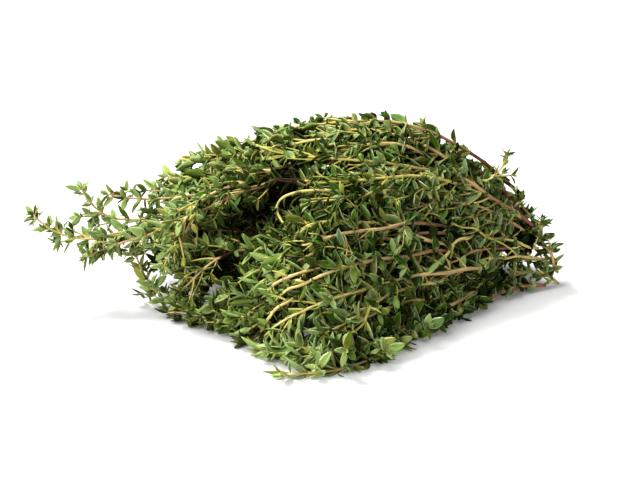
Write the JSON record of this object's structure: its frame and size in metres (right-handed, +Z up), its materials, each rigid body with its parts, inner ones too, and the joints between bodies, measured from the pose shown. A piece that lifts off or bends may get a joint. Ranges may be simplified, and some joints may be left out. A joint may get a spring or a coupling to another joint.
{
  "type": "thyme bundle",
  "caption": "Loose bundle of fresh thyme sprigs lying in a heap, cut ends to one side and leafy tips fanned out.",
  "frame": {"origin": "middle of the heap's footprint on the table it lies on", "axes": "+X along the heap's length, towards the cut ends; +Y towards the heap's back; +Z up from the table"},
  "size_m": [0.224, 0.1366, 0.081],
  "materials": {
    "thyme_crest": "matt green leaves on yellow-green to reddish stems",
    "thyme_tail": "matt green leaves on thin reddish to green stems",
    "thyme_front": "matt pale green leaves on yellow-green stems",
    "thyme_right": "matt dark green leaves on tan woody stems",
    "thyme_back": "matt green leaves on tan stems",
    "thyme_core": "matt dark green leaves on brown stems"
  },
  "bodies": {
    "root": {"back_sprig_01": "thyme_back", "back_sprig_02": "thyme_back", "back_sprig_03": "thyme_back", "back_sprig_04": "thyme_back", "back_sprig_05": "thyme_back", "back_sprig_06": "thyme_back", "back_sprig_07": "thyme_back", "back_sprig_08": "thyme_back", "back_sprig_09": "thyme_back", "back_sprig_10": "thyme_back", "core_sprig_01": "thyme_core", "core_sprig_02": "thyme_core", "core_sprig_03": "thyme_core", "core_sprig_04": "thyme_core", "core_sprig_05": "thyme_core", "core_sprig_06": "thyme_core", "core_sprig_07": "thyme_core", "core_sprig_08": "thyme_core", "crest_sprig_01": "thyme_crest", "crest_sprig_02": "thyme_crest", "crest_sprig_03": "thyme_crest", "crest_sprig_04": "thyme_crest", "crest_sprig_05": "thyme_crest", "crest_sprig_06": "thyme_crest", "crest_sprig_07": "thyme_crest", "crest_sprig_08": "thyme_crest", "crest_sprig_09": "thyme_crest", "front_sprig_01": "thyme_front", "front_sprig_02": "thyme_front", "front_sprig_03": "thyme_front", "front_sprig_04": "thyme_front", "front_sprig_05": "thyme_front", "front_sprig_06": "thyme_front", "front_sprig_07": "thyme_front", "front_sprig_08": "thyme_front", "front_sprig_09": "thyme_front", "front_sprig_10": "thyme_front", "front_sprig_11": "thyme_front", "front_sprig_12": "thyme_front", "front_sprig_13": "thyme_front", "front_sprig_14": "thyme_front", "right_sprig_01": "thyme_right", "right_sprig_02": "thyme_right", "right_sprig_03": "thyme_right", "right_sprig_04": "thyme_right", "right_sprig_05": "thyme_right", "right_sprig_06": "thyme_right", "right_sprig_07": "thyme_right", "right_sprig_08": "thyme_right", "tail_sprig_01": "thyme_tail", "tail_sprig_02": "thyme_tail", "tail_sprig_03": "thyme_tail", "tail_sprig_04": "thyme_tail", "tail_sprig_05": "thyme_tail", "tail_sprig_06": "thyme_tail", "tail_sprig_07": "thyme_tail", "tail_sprig_08": "thyme_tail", "tail_sprig_09": "thyme_tail", "tail_sprig_10": "thyme_tail", "tail_sprig_11": "thyme_tail"}
  },
  "joints": []
}
